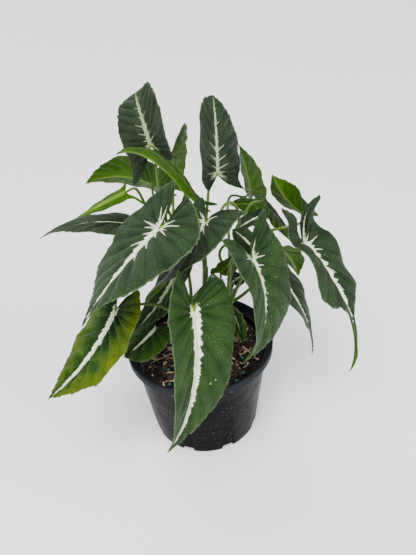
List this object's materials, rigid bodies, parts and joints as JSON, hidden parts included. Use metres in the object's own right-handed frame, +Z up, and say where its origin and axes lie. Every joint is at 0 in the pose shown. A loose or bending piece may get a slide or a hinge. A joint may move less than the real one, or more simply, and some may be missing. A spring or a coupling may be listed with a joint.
{
  "type": "potted syngonium plant",
  "caption": "Leafy syngonium wendlandii houseplant with velvety arrowhead leaves and white midribs, growing from bark mix in a round black nursery pot.",
  "frame": {"origin": "centre of the pot's flat underside, on the surface that the pot stands on", "axes": "+Z up, -Y towards the viewer of the picture, +X to the viewer's right"},
  "size_m": [0.2531, 0.2275, 0.2984],
  "materials": {
    "black_pot_plastic": "semi-gloss black moulded nursery pot, lightly scuffed",
    "bark_mix": "loose dark bark and fibre mix with white grains",
    "stalk_green": "fresh smooth yellow-green plant stem",
    "leaf_velvet_green": "velvety dark green blade with a cream midrib"
  },
  "bodies": {
    "root": {"pot": "black_pot_plastic", "potting_mix": "bark_mix", "plantlet_left_back": "stalk_green", "plantlet_left_front": "stalk_green", "plantlet_middle": "stalk_green", "plantlet_right_front": "stalk_green", "plantlet_right_back": "stalk_green", "leaf_upper_left": "leaf_velvet_green", "leaf_back_left_green": "leaf_velvet_green", "leaf_left_underside": "leaf_velvet_green", "leaf_long_left": "leaf_velvet_green", "leaf_thin_twist": "leaf_velvet_green", "leaf_big_front_left": "leaf_velvet_green", "leaf_yellow_low_left": "leaf_velvet_green", "leaf_low_left_mid": "leaf_velvet_green", "leaf_low_left_rim": "leaf_velvet_green", "leaf_front": "leaf_velvet_green", "leaf_arch": "leaf_velvet_green", "leaf_upper_mid": "leaf_velvet_green", "leaf_inner_bright": "leaf_velvet_green", "leaf_centre": "leaf_velvet_green", "leaf_centre_right": "leaf_velvet_green", "leaf_far_right": "leaf_velvet_green", "leaf_small_mid_b": "leaf_velvet_green", "leaf_soil_small": "leaf_velvet_green", "leaf_peek_small": "leaf_velvet_green", "leaf_upper_right_curl": "leaf_velvet_green", "leaf_centre_back_green": "leaf_velvet_green", "leaf_small_mid_a": "leaf_velvet_green", "leaf_right_underside": "leaf_velvet_green", "leaf_right_narrow_dark": "leaf_velvet_green", "leaf_right_tail": "leaf_velvet_green", "leaf_right_back_green": "leaf_velvet_green"}
  },
  "joints": []
}
